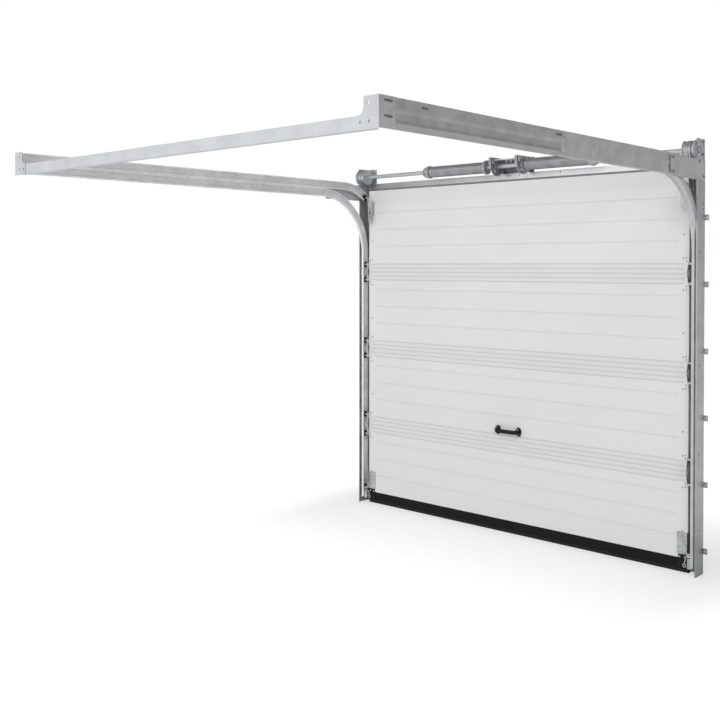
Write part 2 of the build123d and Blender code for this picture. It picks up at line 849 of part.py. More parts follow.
# Top brackets: a base plate on the leaf, a slotted strap standing proud of it, and the roller's arm
strap_y = cap_inner_y - strap_proud
strap_x = half_leaf - top_plate_width / 2
plate_y = cap_inner_y - seat_gap
with BuildPart() as top_bracket:
    with BuildSketch(facing_room(plate_y, half_leaf, leaf_height - top_plate_low)):
        Rectangle(top_plate_width, top_plate_height, align=(Align.MAX, Align.MIN))
    extrude(amount=arm_sheet)
    for side in (-1, 1):
        with BuildSketch(facing_room(plate_y, strap_x + side * (strap_width - arm_sheet) / 2,
                                     leaf_height - top_plate_low)):
            Rectangle(arm_sheet, top_plate_height, align=(Align.CENTER, Align.MIN))
        extrude(amount=strap_proud)
    with BuildSketch(facing_room(strap_y, strap_x, leaf_height)):
        with Locations((0, -(strap_low + strap_high) / 2)):
            Rectangle(strap_width, strap_low - strap_high)
        with Locations((0, -strap_low)):
            Circle(strap_width / 2)
            Circle(strap_slot_radius, mode=Mode.SUBTRACT)
        with Locations((0, -(strap_low + strap_high) / 2)):
            SlotOverall(strap_slot_length, 2 * strap_slot_radius, rotation=90, mode=Mode.SUBTRACT)
    extrude(amount=arm_sheet)
    with BuildSketch(across(arm_x)):
        with BuildLine():
            Polyline(
                (cap_inner_y + arm_foot, up(leaf_height - strap_high - arm_foot)),
                (strap_y, up(leaf_height - strap_high - arm_foot)),
                (-track_line_y - arm_band, up(top_roller_height)),
                (-track_line_y + arm_band, up(top_roller_height)),
                (cap_inner_y + arm_foot, up(leaf_height - strap_high)),
                close=True,
            )
        make_face()
    extrude(amount=arm_sheet)
    with BuildSketch(facing_room(plate_y, half_leaf, leaf_height - top_plate_low + top_plate_height)):
        Rectangle(arm_sheet + seat_gap, arm_foot, align=(Align.MIN, Align.MAX))
    extrude(amount=arm_sheet)
    add(spindle_tube(top_roller_height))
save_both(top_bracket, "top_bracket")

# Bottom brackets: a plate on the leaf, a tab round its edge with the roller's tube, and the cable pin
bottom_plate_low = leaf_foot + corner_cap_lip + seat_gap
with BuildPart() as bottom_bracket:
    with BuildSketch(Plane.XY.offset(up(bottom_plate_low))):
        with Locations((arm_x, plate_y)):
            Rectangle(bottom_plate_width, arm_sheet, align=(Align.MAX, Align.MAX))
            Rectangle(arm_sheet, arm_foot, align=(Align.MIN, Align.MIN))
        with Locations((arm_x, -track_line_y - arm_band)):
            Rectangle(arm_sheet, arm_foot, align=(Align.MIN, Align.MIN))
    extrude(amount=bottom_plate_height)
    add(spindle_tube(bottom_roller_height))
    with BuildSketch(across(arm_x, cable_y, cable_pin_height)):
        Circle(cable_pin_radius)
    extrude(amount=cable_x - arm_x + cable_eye_width)
save_both(bottom_bracket, "bottom_bracket")

# Rollers on their spindles, in the hinges and in the top and bottom brackets
roller_heights = [bottom_roller_height, top_roller_height]
for joint, reach in zip(joints, reaches):
    roller_heights += [joint - reach, joint + reach]
with BuildPart() as rollers:
    for height in roller_heights:
        with BuildSketch(across(roller_outer_x - roller_width, -track_line_y, height)):
            Circle(roller_radius)
        extrude(amount=roller_width)
        with BuildSketch(across(arm_x + arm_sheet + seat_gap, -track_line_y, height)):
            Circle(spindle_radius)
        extrude(amount=roller_outer_x - arm_x - arm_sheet - seat_gap)
save_both(rollers, "rollers")

# Lift cables: from the eye on the bottom bracket straight up to the turns on the drum
with BuildPart() as lift_cable:
    with BuildSketch(Plane.XY.offset(up(cable_pin_height + cable_pin_radius + cable_radius))):
        with Locations((cable_x, cable_y)):
            Circle(cable_radius)
    extrude(amount=shaft_height - cable_pin_height - cable_pin_radius - cable_radius)
    with BuildSketch(across(cable_x - cable_eye_width / 2, cable_y, cable_pin_height)):
        Circle(cable_pin_radius + seat_gap + 2 * cable_radius)
        Circle(cable_pin_radius + seat_gap, mode=Mode.SUBTRACT)
    extrude(amount=cable_eye_width)
    with BuildSketch(shaft_plane.offset(cable_x - cable_radius)):
        Circle(drum_barrel_radius + seat_gap + 2 * cable_radius)
        Circle(drum_barrel_radius + seat_gap, mode=Mode.SUBTRACT)
    extrude(amount=cable_turns * 2 * cable_radius)
save_both(lift_cable, "lift_cable")

# Handle: a rounded bow between two domed feet on the second section
handle_half = handle_length / 2
foot_x = handle_half - handle_foot / 2
with BuildPart() as handle:
    with BuildSketch(facing_room(leaf_inner_y - seat_gap, handle_middle_x, handle_height)):
        with Locations((-foot_x, 0), (foot_x, 0)):
            Ellipse(handle_foot / 2, handle_foot_height / 2)
    extrude(amount=handle_foot_depth)
    fillet(handle.edges().group_by(Axis.Y)[0], radius=handle_foot_round)
    with BuildLine() as bow:
        FilletPolyline(
            (handle_middle_x - foot_x, leaf_inner_y - seat_gap, up(handle_height)),
            (handle_middle_x - foot_x, leaf_inner_y - handle_reach, up(handle_height)),
            (handle_middle_x + foot_x, leaf_inner_y - handle_reach, up(handle_height)),
            (handle_middle_x + foot_x, leaf_inner_y - seat_gap, up(handle_height)),
            radius=handle_bend,
        )
    with BuildSketch(Plane(origin=bow.line @ 0, x_dir=(1, 0, 0), z_dir=(0, -1, 0))):
        RectangleRounded(handle_bar_depth, handle_bar_height, handle_bar_depth / 3)
    sweep(path=bow.line)
save(handle, "handle")
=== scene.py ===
import json
from math import cos, pi, radians, sin

import bmesh
import bpy
from mathutils import Matrix, Vector


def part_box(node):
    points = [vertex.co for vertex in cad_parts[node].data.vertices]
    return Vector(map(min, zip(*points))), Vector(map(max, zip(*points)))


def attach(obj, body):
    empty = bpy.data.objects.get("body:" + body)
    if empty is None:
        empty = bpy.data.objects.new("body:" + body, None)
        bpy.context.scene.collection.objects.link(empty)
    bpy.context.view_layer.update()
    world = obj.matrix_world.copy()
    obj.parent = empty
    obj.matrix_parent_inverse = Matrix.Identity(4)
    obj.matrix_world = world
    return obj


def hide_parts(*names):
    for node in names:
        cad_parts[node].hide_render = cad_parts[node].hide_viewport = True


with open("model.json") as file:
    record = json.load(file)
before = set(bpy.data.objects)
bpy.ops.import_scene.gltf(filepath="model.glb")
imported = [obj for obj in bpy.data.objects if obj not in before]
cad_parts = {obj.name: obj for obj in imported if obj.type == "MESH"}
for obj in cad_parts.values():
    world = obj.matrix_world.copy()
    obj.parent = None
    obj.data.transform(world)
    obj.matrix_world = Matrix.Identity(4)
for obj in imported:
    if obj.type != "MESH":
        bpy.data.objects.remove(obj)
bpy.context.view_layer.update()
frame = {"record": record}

# Places from the frame. Heights are written in millimetres above the floor, as in the CAD model
FLOOR_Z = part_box("jamb_right")[0].z
SIDES = (("right", 1), ("left", -1))
JAMB_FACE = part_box("vertical_track_right")[1].x * 1000 + 2.3
LEAF_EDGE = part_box("end_caps_right")[1].x * 1000
LEAF_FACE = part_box("section_2")[0].y * 1000
CAP_FACE = LEAF_FACE - 1.2
PAD_FACE = CAP_FACE - 1.5
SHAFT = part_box("torsion_shaft")
SHAFT_Y = (SHAFT[0].y + SHAFT[1].y) / 2 * 1000
SHAFT_HEIGHT = ((SHAFT[0].z + SHAFT[1].z) / 2 - FLOOR_Z) * 1000
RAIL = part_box("rail_rear_right")
RAIL_LOW = (RAIL[0].z - FLOOR_Z) * 1000
RAIL_HEIGHT = (RAIL[1].z - RAIL[0].z) * 1000
RAIL_TOP = RAIL_LOW + RAIL_HEIGHT
JOINTS = tuple((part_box(f"section_{n}")[0].z - FLOOR_Z) * 1000 for n in (2, 3, 4))


def spot(x, y, height):
    """A place in metres from millimetres, the last one above the floor."""
    return Vector((x / 1000, y / 1000, FLOOR_Z + height / 1000))


# Camera: at the photo's place, in metres from the header's middle
CAMERA_X = 3.284
CAMERA_Y = -4.911
CAMERA_HEIGHT = 1.617
CAMERA_YAW = 42.81
CAMERA_PITCH = 0.87
CAMERA_LENS = 48.09
CAMERA_SHIFT = -0.1104


def make_camera():
    data = bpy.data.cameras.new("camera")
    data.lens = CAMERA_LENS
    data.sensor_width = 36
    data.shift_y = CAMERA_SHIFT
    camera = bpy.data.objects.new("camera", data)
    camera.location = (CAMERA_X, CAMERA_Y, FLOOR_Z + CAMERA_HEIGHT)
    camera.rotation_euler = (radians(90 - CAMERA_PITCH), 0, radians(CAMERA_YAW))
    bpy.context.scene.collection.objects.link(camera)
    bpy.context.scene.camera = camera


# Materials
class Nodes:
    """A short way to build a node material: one shader, its sockets, and the links between."""

    def __init__(self, name):
        self.material = bpy.data.materials.new(name)
        self.material.use_nodes = True
        self.tree = self.material.node_tree
        self.shader = self.tree.nodes["Principled BSDF"]
        self.place = self.add("ShaderNodeTexCoord").outputs["Object"]

    def add(self, kind, **values):
        node = self.tree.nodes.new(kind)
        for key, value in values.items():
            setattr(node, key, value)
        return node

    def link(self, start, end):
        self.tree.links.new(start, end)

    def set(self, **values):
        for key, value in values.items():
            self.shader.inputs[key.replace("_", " ")].default_value = value

    def noise(self, scale, detail=3.0, vector=None):
        node = self.add("ShaderNodeTexNoise")
        node.inputs["Scale"].default_value = scale
        node.inputs["Detail"].default_value = detail
        self.link(vector or self.place, node.inputs["Vector"])
        return node.outputs["Fac"]

    def cells(self, scale, vector=None):
        node = self.add("ShaderNodeTexVoronoi")
        node.inputs["Scale"].default_value = scale
        self.link(vector or self.place, node.inputs["Vector"])
        split = self.add("ShaderNodeSeparateColor")
        self.link(node.outputs["Color"], split.inputs["Color"])
        return split.outputs["Red"]

    def ramp(self, value, low, high, start=0.3, end=0.7):
        """The low colour up to the start, the high colour from the end."""
        node = self.add("ShaderNodeValToRGB")
        node.color_ramp.elements[0].position = start
        node.color_ramp.elements[1].position = end
        node.color_ramp.elements[0].color = (*low, 1)
        node.color_ramp.elements[1].color = (*high, 1)
        self.link(value, node.inputs["Fac"])
        return node.outputs["Color"]

    def math(self, operation, first, second=0.0, third=0.0):
        node = self.add("ShaderNodeMath", operation=operation)
        for slot, value in enumerate((first, second, third)):
            if isinstance(value, (int, float)):
                node.inputs[slot].default_value = value
            else:
                self.link(value, node.inputs[slot])
        return node.outputs[0]

    def axis(self, letter):
        """Metres along one axis of the frame."""
        split = self.add("ShaderNodeSeparateXYZ")
        self.link(self.place, split.inputs[0])
        return split.outputs[letter]

    def height(self):
        """Millimetres above the floor."""
        return self.math("MULTIPLY_ADD", self.axis("Z"), 1000.0, -FLOOR_Z * 1000)

    def along(self):
        """Millimetres along the door."""
        return self.math("MULTIPLY", self.axis("X"), 1000.0)

    def near(self, value, width):
        """1 where the value is 0, fading to 0 at the width."""
        node = self.add("ShaderNodeMapRange", interpolation_type="SMOOTHSTEP")
        node.inputs["From Max"].default_value = width
        node.inputs["To Min"].default_value = 1.0
        node.inputs["To Max"].default_value = 0.0
        self.link(value, node.inputs["Value"])
        return node.outputs["Result"]

    def span(self, value, low, high):
        """Spread a value of 0 to 1 over another range."""
        node = self.add("ShaderNodeMapRange")
        node.inputs["To Min"].default_value = low
        node.inputs["To Max"].default_value = high
        self.link(value, node.inputs["Value"])
        return node.outputs["Result"]

    def blend(self, factor, first, second, kind="MIX"):
        node = self.add("ShaderNodeMix", data_type="RGBA", blend_type=kind)
        if isinstance(factor, float):
            node.inputs["Factor"].default_value = factor
        else:
            self.link(factor, node.inputs["Factor"])
        before, after = (socket for socket in node.inputs if socket.type == "RGBA")
        self.link(first, before)
        self.link(second, after)
        return next(socket for socket in node.outputs if socket.type == "RGBA")

    def bump(self, value, strength, distance, after=None):
        node = self.add("ShaderNodeBump")
        node.inputs["Strength"].default_value = strength
        node.inputs["Distance"].default_value = distance
        self.link(value, node.inputs["Height"])
        if after is not None:
            self.link(after, node.inputs["Normal"])
        self.link(node.outputs["Normal"], self.shader.inputs["Normal"])
        return node.outputs["Normal"]

    def colour(self, value):
        self.link(value, self.shader.inputs["Base Color"])

    def rough(self, value):
        self.link(value, self.shader.inputs["Roughness"])


# Grooves of the leaf, in millimetres: close ones at the joints and three on each section's field, with the
# painted shade laid along them
JOINT_GROOVE_PITCH = 26.5
JOINT_GROOVE_REACH = 60.0
JOINT_GROOVE_SOFTNESS = JOINT_GROOVE_PITCH * 0.27
FIELD_GROOVE_START = 173.0
FIELD_GROOVE_PITCH = 114.0
FIELD_GROOVE_END = 420.0
FIELD_GROOVE_SOFTNESS = 6.0
FIELD_GROOVE_LEAD = 9.0
GROOVE_SHADE = 0.16
FIELD_SHADE = 0.09
JOINT_ZONE_SHADE = 0.03


def groove_shade(made):
    """How much painted shade lies in the leaf's grooves, by the height above the floor."""
    pitch = JOINTS[1] - JOINTS[0]
    height = made.height()
    above = made.math("SUBTRACT", height, JOINTS[0])
    distance = made.math("PINGPONG", above, pitch / 2)
    close = made.near(made.math("PINGPONG", distance, JOINT_GROOVE_PITCH / 2), JOINT_GROOVE_SOFTNESS)
    by_joint = made.math("LESS_THAN", distance, JOINT_GROOVE_REACH)
    close = made.math("MULTIPLY", close, by_joint)
    close = made.math("MULTIPLY", close, made.math("LESS_THAN", height, JOINTS[2] + pitch / 2))
    field = made.math("SUBTRACT", made.math("FLOORED_MODULO", above, pitch), FIELD_GROOVE_START)
    line = made.near(made.math("PINGPONG", field, FIELD_GROOVE_PITCH / 2), FIELD_GROOVE_SOFTNESS)
    line = made.math("MULTIPLY", line, made.math("GREATER_THAN", field, -FIELD_GROOVE_LEAD))
    line = made.math("MULTIPLY", line, made.math("LESS_THAN", field, FIELD_GROOVE_END - FIELD_GROOVE_START))
    zone = made.math("MULTIPLY", by_joint, JOINT_ZONE_SHADE)
    shade = made.math("MULTIPLY_ADD", close, GROOVE_SHADE, zone)
    return made.math("MULTIPLY_ADD", line, FIELD_SHADE, shade)


def leaf_paint(name, tone, painted_groove_shade=False):
    """Off-white coil coating on thin sheet: a fine stucco and a faint waviness."""
    made = Nodes(name)
    cloud = made.noise(1.6, 2.0)
    low = tuple(c * 0.975 for c in tone)
    coat = made.ramp(cloud, low, tone)
    # painted shade: darker lines along the grooves and the joint zones
    if painted_groove_shade:
        coat = made.blend(1.0, coat, made.math("SUBTRACT", 1.0, groove_shade(made)), "MULTIPLY")
    made.colour(coat)
    made.rough(made.span(made.noise(7.0), 0.42, 0.54))
    fine = made.bump(made.noise(700.0, 2.0), 0.10, 0.0006)
    made.bump(made.noise(2.2, 1.0), 0.12, 0.003, after=fine)
    return made.material


FOOT_SHADE_HEIGHT = 520
FOOT_SHADE_LOWEST = 0.55


def foot_shade(made):
    """Painted shade: the jambs are darker near the floor."""
    lift = made.math("MINIMUM", made.math("MULTIPLY", made.height(), 1 / FOOT_SHADE_HEIGHT), 1.0)
    return made.math("MULTIPLY_ADD", lift, 1 - FOOT_SHADE_LOWEST, FOOT_SHADE_LOWEST)


HEADER_SHADE_SLOPE = 0.00042
HEADER_SHADE_MIDDLE = 1.02
HEADER_SHADE_MOST = 1.3
HEADER_SHADE_LEAST = 0.6


def header_shade(made):
    """The header catches more light toward the right."""
    fade = made.math("MULTIPLY_ADD", made.along(), HEADER_SHADE_SLOPE, HEADER_SHADE_MIDDLE)
    return made.math("MAXIMUM", made.math("MINIMUM", fade, HEADER_SHADE_MOST), HEADER_SHADE_LEAST)


# Painted light and shade of the rolled bands of the rear rails: the tones at both edges, and (share of the
# height, tone) between
RAIL_EDGE_SHADES = (0.66, 0.86)
RAIL_SHADE_BANDS = ((0.27, 0.66), (0.29, 0.80), (0.46, 0.80), (0.50, 0.96), (0.61, 0.96), (0.65, 0.86))


def rail_shade(made):
    """Painted light and shade of the rolled bands along the outer faces of the rear rails, from the lower
    edge to the upper.
    """
    part = made.math("MULTIPLY_ADD", made.height(), 1 / RAIL_HEIGHT, -RAIL_LOW / RAIL_HEIGHT)
    bands = made.add("ShaderNodeValToRGB")
    ramp = bands.color_ramp
    for stop, tone in zip(ramp.elements, RAIL_EDGE_SHADES):
        stop.color = (tone, tone, tone, 1)
    for position, tone in RAIL_SHADE_BANDS:
        stop = ramp.elements.new(position)
        stop.color = (tone, tone, tone, 1)
    made.link(part, bands.inputs["Fac"])
    return bands.outputs["Color"]


def galvanised(name, tone, metallic, grain=28.0, shade=None, contrast=0.14):
    """Hot-dip zinc: soft spangle cells, cloudy streaks and a dull sheen."""
    made = Nodes(name)
    made.set(Metallic=metallic)
    spangle = made.cells(grain)
    cloud = made.noise(9.0, 4.0)
    dark = tuple(c * (1 - contrast) for c in tone)
    light = tuple(min(1.0, c * (1 + contrast)) for c in tone)
    first = made.ramp(spangle, dark, light, 0.0, 1.0)
    second = made.ramp(cloud, dark, light, 0.25, 0.75)
    zinc = made.blend(0.6, first, second)
    # painted light and shade by place, where a shade function is given
    if shade is not None:
        zinc = made.blend(1.0, zinc, shade(made), "MULTIPLY")
    made.colour(zinc)
    made.rough(made.span(spangle, 0.36, 0.50))
    made.bump(made.noise(160.0, 3.0), 0.08, 0.0006)
    return made.material


def plain(name, tone, roughness, metallic=0.0, grain=240.0, depth=0.15, sheen=0.5):
    """Moulded, cast or coated stock: fine grain and small tone changes."""
    made = Nodes(name)
    made.set(Metallic=metallic, Specular_IOR_Level=sheen)
    cloud = made.noise(18.0, 4.0)
    low = tuple(c * 0.8 for c in tone)
    high = tuple(min(1.0, c * 1.18) for c in tone)
    made.colour(made.ramp(cloud, low, high, 0.25, 0.75))
    made.rough(made.span(made.noise(40.0), roughness - 0.07, roughness + 0.07))
    made.bump(made.noise(grain, 3.0), depth, 0.0008)
    return made.material


MATERIALS = {
    "leaf_white": leaf_paint("leaf_white_paint", (0.80, 0.80, 0.79), painted_groove_shade=True),
    "cap_white": leaf_paint("cap_white_paint", (0.82, 0.82, 0.81)),
    "galvanised": galvanised("galvanised_steel", (0.49, 0.505, 0.515), 0.6),
    "lit_track_zinc": galvanised("lit_track_zinc", (0.50, 0.515, 0.525), 0.55),
    "lit_inner_zinc": galvanised("lit_inner_zinc", (0.80, 0.81, 0.82), 0.4),
    "jamb_zinc": galvanised("jamb_zinc", (0.41, 0.42, 0.43), 0.6, shade=foot_shade, contrast=0.2),
    "dark_zinc": galvanised("dark_zinc", (0.27, 0.28, 0.30), 0.55, 110.0, contrast=0.6),
    "header_zinc": galvanised("header_zinc", (0.56, 0.57, 0.58), 0.6, shade=header_shade),
    "rail_zinc": galvanised("rail_zinc", (0.50, 0.51, 0.52), 0.6, shade=rail_shade),
    "spangled_zinc": galvanised("spangled_zinc", (0.44, 0.455, 0.47), 0.55, 75.0, contrast=0.5),
    "black_profile": plain("black_coating", (0.008, 0.008, 0.009), 0.5, sheen=0.12),
    "black_plastic": plain("black_moulding", (0.007, 0.007, 0.0075), 0.45, sheen=0.2),
    "rubber": plain("seal_rubber", (0.012, 0.012, 0.012), 0.68, sheen=0.25),
    "spring_steel": plain("spring_wire_steel", (0.36, 0.37, 0.38), 0.36, 0.8, 120.0),
    "cast_metal": plain("die_cast_metal", (0.42, 0.43, 0.44), 0.46, 0.7, 90.0, 0.35),
    "cable_steel": plain("cable_strand", (0.40, 0.41, 0.42), 0.4, 0.85, 500.0, 0.5),
    "painted_shade_edge": plain("painted_shade_edge", (0.22, 0.23, 0.24), 0.5, 0.3),
    "bright_screws": plain("zinc_screws", (0.62, 0.63, 0.64), 0.34, 0.6, 300.0),
    # the dull screws' colour, also used for the painted shade in the slots
    "dark_screws_and_shade": plain("dull_screws_and_slot_shade", (0.16, 0.165, 0.17), 0.5, 0.5, 300.0),
}


# Steel nodes whose surface differs from the plain galvanised one: the tracks take a slightly lighter copy as
# painted light, and the jambs, header and rear rails carry painted light and shade by place
ZINC_KINDS = {
    "vertical_track": "lit_track_zinc",
    "curved_track": "lit_track_zinc",
    "upper_track": "lit_track_zinc",
    "jamb": "jamb_zinc",
    "header_angle": "header_zinc",
    "rail_rear": "rail_zinc",
    "drum": "spangled_zinc",
    "bearing_plate": "spangled_zinc",
    "bottom_bracket": "spangled_zinc",
}

# On the left, the tracks and rails turn their open side to the camera, and take a much lighter copy of the
# zinc: painted light inside their channels
OPEN_KINDS = ("vertical_track", "curved_track", "upper_track", "rail_front", "rail_rear")


def dress_nodes():
    """Every CAD node takes the material of its kind, or else of its slot in the record."""
    for part in frame["record"]["subparts"]:
        name = part["node"]
        kind = name.removesuffix("_right").removesuffix("_left")
        material = ZINC_KINDS.get(kind, part["material_slot"])
        if name.endswith("_left") and kind in OPEN_KINDS:
            material = "lit_inner_zinc"
        shown = bpy.data.objects.get(name)
        shown.data.materials.clear()
        shown.data.materials.append(MATERIALS[material])


# Mesh pieces
def join_rings(mesh, rings):
    """Add the faces between each ring of corners and the next."""
    for first, second in zip(rings, rings[1:]):
        for step in range(len(first)):
            after = (step + 1) % len(first)
            mesh.faces.new((first[step], first[after], second[after], second[step]))


def turned(mesh, place, axis, profile, sides=16, turn=0.0):
    """Add a lathed form: profile is (distance along the axis, radius) in millimetres."""
    spin = axis.normalized().to_track_quat("Z", "Y").to_matrix().to_4x4()
    frame_at = Matrix.Translation(place) @ spin
    rings = []
    for along, radius in profile:
        ring = []
        for step in range(sides):
            angle = turn + 2 * pi * step / sides
            corner = Vector((radius * cos(angle), radius * sin(angle), along)) / 1000
            ring.append(mesh.verts.new(frame_at @ corner))
        rings.append(ring)
    join_rings(mesh, rings)
    mesh.faces.new(list(reversed(rings[0])))
    mesh.faces.new(rings[-1])


def slab(mesh, low, high):
    """Add a bevelled block between two corners, for a small plate or tab."""
    made = bmesh.ops.create_cube(mesh, size=1.0)["verts"]
    middle = (low + high) / 2
    for vertex in made:
        vertex.co = Vector((
            middle.x + vertex.co.x * (high.x - low.x),
            middle.y + vertex.co.y * (high.y - low.y),
            middle.z + vertex.co.z * (high.z - low.z),
        ))
    edges = {edge for vertex in made for edge in vertex.link_edges}
    width = min(high.x - low.x, high.y - low.y, high.z - low.z) * 0.2
    bmesh.ops.bevel(mesh, geom=list(edges), offset=width, segments=2, affect="EDGES")


def block(mesh, first, second):
    """Add a bevelled block between any two opposite corners."""
    low = Vector(min(pair) for pair in zip(first, second))
    high = Vector(max(pair) for pair in zip(first, second))
    slab(mesh, low, high)


def flat_plate(mesh, first_x, last_x, outline):
    """Add a plate square to X between two places, from an outline of (y, height)."""
    front = [mesh.verts.new(spot(first_x, y, height)) for y, height in outline]
    back = [mesh.verts.new(spot(last_x, y, height)) for y, height in outline]
    mesh.faces.new(front)
    mesh.faces.new(list(reversed(back)))
    for step in range(len(outline)):
        after = (step + 1) % len(outline)
        mesh.faces.new((front[step], back[step], back[after], front[after]))


def ring_points(middle, radius, count=18):
    """Places round an upright ring that faces the room."""
    turns = (2 * pi * step / count for step in range(count))
    return [middle + Vector((radius * cos(turn), 0, radius * sin(turn))) / 1000 for turn in turns]


def tube(mesh, points, radius, closed=False, sides=8):
    """Add a round bar along a line of places."""
    rings = []
    count = len(points)
    for step, point in enumerate(points):
        before = points[step - 1] if closed or step > 0 else point
        after = points[(step + 1) % count] if closed or step < count - 1 else point
        way = (after - before).normalized()
        across = way.cross(Vector((0, 1, 0))).normalized()
        third = way.cross(across)
        ring = []
        for corner in range(sides):
            turn = 2 * pi * corner / sides
            out = across * cos(turn) + third * sin(turn)
            ring.append(mesh.verts.new(point + out * radius / 1000))
        rings.append(ring)
    if closed:
        rings.append(rings[0])
    join_rings(mesh, rings)
    if not closed:
        mesh.faces.new(list(reversed(rings[0])))
        mesh.faces.new(rings[-1])


def pan_head(mesh, place, axis, radius=4.5, height=2.8):
    """A domed screw head with the dimple of its drive."""
    dome = [(0, radius), (height * 0.45, radius), (height * 0.8, radius * 0.82), (height, radius * 0.5)]
    dimple = [(height, radius * 0.34), (height * 0.45, radius * 0.22), (height * 0.45, 0.01)]
    profile = dome + dimple
    turned(mesh, place, axis, profile, 14)


WASHER_SHEET = 1.4


def hex_bolt(mesh, place, axis, across, height, washer):
    """A hexagon head with a chamfered top on a flat washer."""
    half = across / 2 / cos(pi / 6)
    turned(mesh, place, axis, [(0, washer), (WASHER_SHEET, washer), (WASHER_SHEET, half * 0.9)], 20)
    head = [(0, half), (height * 0.8, half), (height, half * 0.86)]
    turned(mesh, place + axis * WASHER_SHEET / 1000, axis, head, 6)


def coach_head(mesh, place, axis, radius=9.0, height=4.0):
    """The low dome of a coach bolt."""
    profile = [(0, radius), (height * 0.4, radius * 0.94)]
    profile += [(height * 0.75, radius * 0.7), (height, radius * 0.3)]
    turned(mesh, place, axis, profile, 18)


def finish_piece(name, mesh, slot, smooth=35):
    """Turn a bmesh into a piece that rides on the object and takes its material by slot."""
    bmesh.ops.recalc_face_normals(mesh, faces=mesh.faces)
    for face in mesh.faces:
        face.smooth = True
    data = bpy.data.meshes.new(name)
    mesh.to_mesh(data)
    mesh.free()
    data.set_sharp_from_angle(angle=radians(smooth))
    data.materials.append(MATERIALS[slot])
    piece = bpy.data.objects.new(name, data)
    bpy.context.scene.collection.objects.link(piece)
    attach(piece, "root")
    return piece


ROOM = Vector((0, -1, 0))
RIGHT = Vector((1, 0, 0))


# Torsion springs: close-wound coils in place of the plain tubes
SPRING_WIRE = 0.0065
COIL_SIDES = 8
COIL_STEPS = 28


def coil_ring(mesh, centre, out, along, radius):
    """Add the corners of the wire's round section at one place of the coil."""
    ring = []
    for corner in range(COIL_SIDES):
        turn = 2 * pi * corner / COIL_SIDES
        reach = radius + SPRING_WIRE / 2 * cos(turn)
        shift = along + SPRING_WIRE / 2 * sin(turn)
        ring.append(mesh.verts.new(centre + out * reach + RIGHT * shift))
    return ring


def make_springs():
    centre = spot(0, SHAFT_Y, SHAFT_HEIGHT)
    for side, sign in SIDES:
        low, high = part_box(f"spring_{side}")
        radius = (high.z - low.z) / 2 - SPRING_WIRE / 2
        length = high.x - low.x - SPRING_WIRE
        steps = round(length / SPRING_WIRE) * COIL_STEPS
        mesh = bmesh.new()
        rings = []
        for step in range(steps + 1):
            angle = 2 * pi * step / COIL_STEPS
            along = low.x + SPRING_WIRE / 2 + length * step / steps
            out = Vector((0, cos(sign * angle), sin(sign * angle)))
            rings.append(coil_ring(mesh, centre, out, along, radius))
        join_rings(mesh, rings)
        mesh.faces.new(rings[0])
        mesh.faces.new(rings[-1])
        piece = finish_piece(f"spring_coils_{side}", mesh, "spring_steel", 80)
        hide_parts(f"spring_{side}")


# Winding cones: the knurls round the collar and the set screws that grip the shaft.
# Profiles are (distance along the axis, radius) in millimetres
KNURL_COUNT = 18
KNURL_START = 31.5
KNURL_RING = 37.2
KNURL_PROFILE = ((0, 2.2), (1, 3.0), (20, 3.0), (22, 2.0))
SET_SCREW_START = 66
SET_SCREW_RING = 31.0
SET_SCREW_TURN = 0.6
SET_SCREW_PROFILE = ((0, 5.5), (8, 5.5), (9, 4.6))


def make_cone_knurls():
    for side, sign in SIDES:
        low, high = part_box(f"winding_cone_{side}")
        inner = (low.x if sign > 0 else high.x) * 1000
        mesh = bmesh.new()
        for step in range(KNURL_COUNT):
            angle = 2 * pi * step / KNURL_COUNT
            out = Vector((0, cos(angle), sin(angle)))
            place = spot(inner + sign * KNURL_START, SHAFT_Y, SHAFT_HEIGHT) + out * KNURL_RING / 1000
            turned(mesh, place, RIGHT * sign, KNURL_PROFILE, 8)
        for angle in (SET_SCREW_TURN, SET_SCREW_TURN + pi):
            out = Vector((0, cos(angle), sin(angle)))
            place = spot(inner + sign * SET_SCREW_START, SHAFT_Y, SHAFT_HEIGHT) + out * SET_SCREW_RING / 1000
            turned(mesh, place, out, SET_SCREW_PROFILE, 4, pi / 4)
        piece = finish_piece(f"cone_knurls_{side}", mesh, "cast_metal")


# Screws of the end caps and hinge pads: inset from the leaf's edge, and heights from each joint
CAP_SCREW_INSET = 31.0
CAP_SCREW_OFFSETS = (80, -88, 206)
CAP_SCREW_LOWEST = 222
CAP_SCREW_RADIUS = 3.6
PAD_SCREW_INSET = 14.0
PAD_SCREW_OFFSETS = (66, 84, -66, -84)
PAD_SCREW_RADIUS = 3.2


def make_leaf_screws():
    mesh = bmesh.new()
    for _, sign in SIDES:
        cap_x = sign * (LEAF_EDGE - CAP_SCREW_INSET)
        pad_x = sign * (LEAF_EDGE - PAD_SCREW_INSET)
        for joint in JOINTS:
            for offset in CAP_SCREW_OFFSETS:
                pan_head(mesh, spot(cap_x, CAP_FACE, joint + offset), ROOM, CAP_SCREW_RADIUS)
            for offset in PAD_SCREW_OFFSETS:
                pan_head(mesh, spot(pad_x, PAD_FACE, joint + offset), ROOM, PAD_SCREW_RADIUS)
        pan_head(mesh, spot(cap_x, CAP_FACE, CAP_SCREW_LOWEST), ROOM, CAP_SCREW_RADIUS)
    piece = finish_piece("cap_screws", mesh, "dark_screws_and_shade")


# Screws of the bottom and top roller brackets, and the bolts of the top rollers' slides
BRACKET_FACE = CAP_FACE - 2.3
BOTTOM_BRACKET_INSETS = (8, 38)
BOTTOM_BRACKET_HEIGHTS = (125, 165, 200)
BOTTOM_BRACKET_RADIUS = 4.2
TOP_BRACKET_INSETS = (4.5, 45.5)
TOP_BRACKET_HEIGHTS = (1972, 1990, 2022, 2042)
TOP_BRACKET_RADIUS = 3.4
SLIDE_INSET = 25
SLIDE_FACE = CAP_FACE - 22
SLIDE_HEIGHTS = (1960, 1998)

